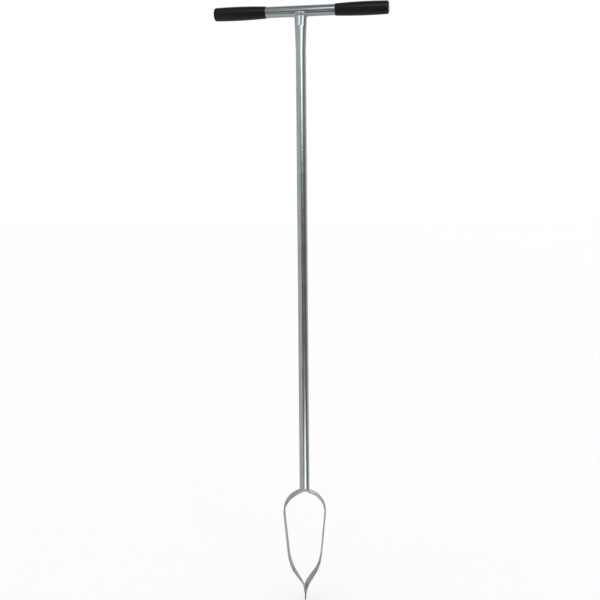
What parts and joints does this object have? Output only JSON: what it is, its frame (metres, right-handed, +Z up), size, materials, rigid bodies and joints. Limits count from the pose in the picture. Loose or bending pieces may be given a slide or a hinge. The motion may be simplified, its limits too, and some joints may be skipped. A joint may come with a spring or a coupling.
{
  "type": "hand earth auger",
  "caption": "Hand earth auger: T-handle with black grips on a long galvanised shaft, ending in an open head of bent flat-bar blades that meet in a point, for boring holes in soil.",
  "frame": {"origin": "tip of the point, on the shaft's axis", "axes": "+Z up the shaft towards the crossbar, +X along the crossbar, to the right in the picture"},
  "size_m": [0.345, 0.04, 1.1995],
  "materials": {
    "galvanised_tube": "bright zinc-coated drawn steel tube",
    "galvanised_bar": "mottled zinc-coated flat bar",
    "galvanised_weld": "rippled zinc-coated weld bead",
    "black_grip": "satin black moulded grip"
  },
  "bodies": {
    "root": {"handle_tube": "galvanised_tube", "grip_left": "black_grip", "grip_right": "black_grip", "handle_weld": "galvanised_weld", "shaft_tube": "galvanised_tube", "foot_weld_left": "galvanised_weld", "foot_weld_right": "galvanised_weld", "blade_left": "galvanised_bar", "blade_right": "galvanised_bar", "seam_weld": "galvanised_weld", "point_weld": "galvanised_weld"}
  },
  "joints": []
}
